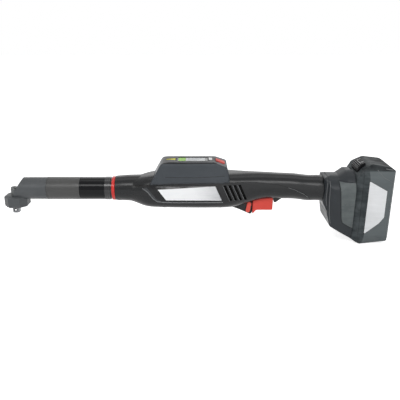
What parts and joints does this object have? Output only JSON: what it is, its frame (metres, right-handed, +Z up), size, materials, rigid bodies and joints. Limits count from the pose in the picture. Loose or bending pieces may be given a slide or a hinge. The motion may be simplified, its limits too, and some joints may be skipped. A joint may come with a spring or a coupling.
{
  "type": "handheld nutrunner",
  "caption": "Cordless inline nutrunner with an offset angle head, square drive, display pod, bar handle with a thumb trigger and a slide-on battery.",
  "frame": {"origin": "centre of the square drive's end face, on the output axis", "axes": "+Z up along the output axis, +X from the angle head to the battery"},
  "size_m": [0.5681, 0.0763, 0.1218],
  "materials": {
    "head_metal": "satin",
    "steel": "satin",
    "gear_steel": "satin",
    "chrome": "polished",
    "tube_metal": "satin",
    "black_gloss": "gloss",
    "flange_metal": "satin",
    "black_plastic": "fine grain",
    "grey_plastic": "fine grain",
    "red_plastic": "satin",
    "white_plastic": "satin",
    "screen": "clear",
    "yellow_lens": "clear",
    "circuit_board": "satin",
    "silver_plate": "satin",
    "motor_iron": "satin",
    "cell_can": "wrapped",
    "battery_plastic": "fine grain",
    "contact_brass": "satin"
  },
  "bodies": {
    "tool": {"spindle_bearing": "steel", "angle_head_housing": "head_metal", "head_base_plate": "head_metal", "base_plate_screws": "steel", "head_top_cap": "head_metal", "transfer_bearing": "steel", "pinion_bearings": "steel", "bearing_spacer": "flange_metal", "gearbox_tube": "tube_metal", "ring_gear": "gear_steel", "shaft_bearing": "steel", "torque_transducer": "steel", "transducer_sleeve": "black_gloss", "motor_flange": "flange_metal", "union_collar": "black_gloss", "red_ring": "red_plastic", "motor_can": "flange_metal", "motor_stator": "motor_iron", "motor_end_bell": "flange_metal", "motor_bearings": "steel", "housing_upper": "black_plastic", "housing_lower": "black_plastic", "housing_screws": "steel", "electronics_pod": "grey_plastic", "display_window": "screen", "pod_boards": "circuit_board", "arrow_light": "yellow_lens", "side_plate": "silver_plate", "vent_grilles": "black_plastic", "control_board": "circuit_board", "trigger_spring": "steel", "trigger_switch": "black_plastic", "battery_adaptor": "black_plastic", "terminal_block": "contact_brass"},
    "output": {"output_spindle": "steel", "output_gear": "gear_steel", "detent_spring": "steel"},
    "ball": {"detent_ball": "chrome"},
    "transfer": {"transfer_shaft": "gear_steel", "crown_gear": "gear_steel"},
    "carrier": {"bevel_pinion": "gear_steel", "planet_carrier": "gear_steel", "planet_pins": "steel"},
    "planet_a": {"planet_gear_a": "gear_steel"},
    "planet_b": {"planet_gear_b": "gear_steel"},
    "planet_c": {"planet_gear_c": "gear_steel"},
    "rotor": {"drive_shaft": "steel", "shaft_coupling": "steel", "motor_rotor": "motor_iron", "cooling_fan": "black_plastic"},
    "trigger": {"trigger": "red_plastic"},
    "selector": {"direction_selector": "red_plastic"},
    "white_key": {"white_key": "white_plastic"},
    "red_key": {"red_key": "red_plastic"},
    "battery": {"battery_case": "battery_plastic", "battery_front_cover": "battery_plastic", "battery_cells": "cell_can", "cell_holder": "black_plastic", "battery_label": "silver_plate"},
    "latch": {"battery_latch": "black_plastic"}
  },
  "joints": [
    {"name": "carrier_spin", "type": "hinge", "parent": "tool", "child": "carrier", "pos_m": [0.03, 0, 0.0375], "axis": [1, 0, 0], "continuous": true},
    {"name": "transfer_spin", "type": "hinge", "parent": "tool", "child": "transfer", "pos_m": [0.0128, 0, 0.0375], "axis": [0, 0, 1], "continuous": true},
    {"name": "output_spin", "type": "hinge", "parent": "tool", "child": "output", "pos_m": [0, 0, 0.01], "axis": [0, 0, 1], "continuous": true},
    {"name": "rotor_spin", "type": "hinge", "parent": "tool", "child": "rotor", "pos_m": [0.18, 0, 0.0375], "axis": [1, 0, 0], "continuous": true},
    {"name": "planet_a_spin", "type": "hinge", "parent": "carrier", "child": "planet_a", "pos_m": [0.0742, 0, 0.02913], "axis": [1, 0, 0], "continuous": true},
    {"name": "planet_b_spin", "type": "hinge", "parent": "carrier", "child": "planet_b", "pos_m": [0.0742, 0.00725, 0.04168], "axis": [1, 0, 0], "continuous": true},
    {"name": "planet_c_spin", "type": "hinge", "parent": "carrier", "child": "planet_c", "pos_m": [0.0742, -0.00725, 0.04168], "axis": [1, 0, 0], "continuous": true},
    {"name": "ball_slide", "type": "slide", "parent": "output", "child": "ball", "axis": [0, 1, 0], "range_m": [0, 0.0006], "stiffness_N_per_m": 2000},
    {"name": "trigger_slide", "type": "slide", "parent": "tool", "child": "trigger", "axis": [0, 0, 1], "range_m": [0, 0.006], "stiffness_N_per_m": 900, "deforming": ["trigger_spring"]},
    {"name": "selector_slide", "type": "slide", "parent": "tool", "child": "selector", "axis": [0, 1, 0], "range_m": [-0.0024, 0.0024]},
    {"name": "white_key_press", "type": "slide", "parent": "tool", "child": "white_key", "axis": [0, 0, -1], "range_m": [0, 0.001], "stiffness_N_per_m": 1500},
    {"name": "red_key_press", "type": "slide", "parent": "tool", "child": "red_key", "axis": [-0.2833, 0, -0.959], "range_m": [0, 0.001], "stiffness_N_per_m": 1500},
    {"name": "battery_slide", "type": "slide", "parent": "tool", "child": "battery", "axis": [0, 0, 1], "range_m": [0, 0.06]},
    {"name": "latch_press", "type": "slide", "parent": "battery", "child": "latch", "axis": [0, 0, -1], "range_m": [0, 0.0016], "stiffness_N_per_m": 1500}
  ],
  "couplings": [
    {"joint": "transfer_spin", "follows": "carrier_spin", "ratio": 0.875},
    {"joint": "output_spin", "follows": "carrier_spin", "ratio": -0.39773},
    {"joint": "rotor_spin", "follows": "carrier_spin", "ratio": 4.5},
    {"joint": "planet_a_spin", "follows": "carrier_spin", "ratio": -2.8},
    {"joint": "planet_b_spin", "follows": "carrier_spin", "ratio": -2.8},
    {"joint": "planet_c_spin", "follows": "carrier_spin", "ratio": -2.8}
  ]
}
